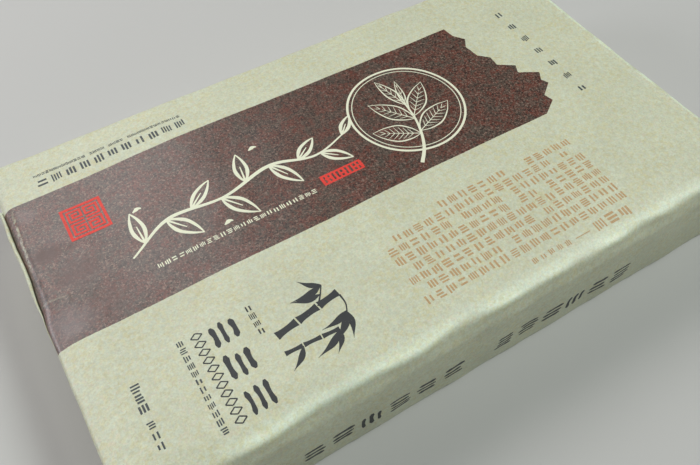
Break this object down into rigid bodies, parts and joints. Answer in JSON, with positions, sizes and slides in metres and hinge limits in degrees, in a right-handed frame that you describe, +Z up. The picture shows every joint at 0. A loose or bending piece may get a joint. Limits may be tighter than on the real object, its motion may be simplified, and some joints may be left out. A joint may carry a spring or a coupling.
{
  "type": "fu brick tea",
  "caption": "Pressed brick of dark tea in a printed paper wrap, a flat oblong pack folded at both ends like a parcel, lying on its back.",
  "frame": {"origin": "middle of the base, under the centre of the pack's box", "axes": "+X along the brick, towards the end where the dark field stops; +Y across it, towards the dark field's long edge; +Z up through the printed face"},
  "size_m": [0.2576, 0.1514, 0.0413],
  "materials": {
    "wrap_paper": "matte"
  },
  "bodies": {
    "root": {"wrapped_brick": "wrap_paper"}
  },
  "joints": []
}
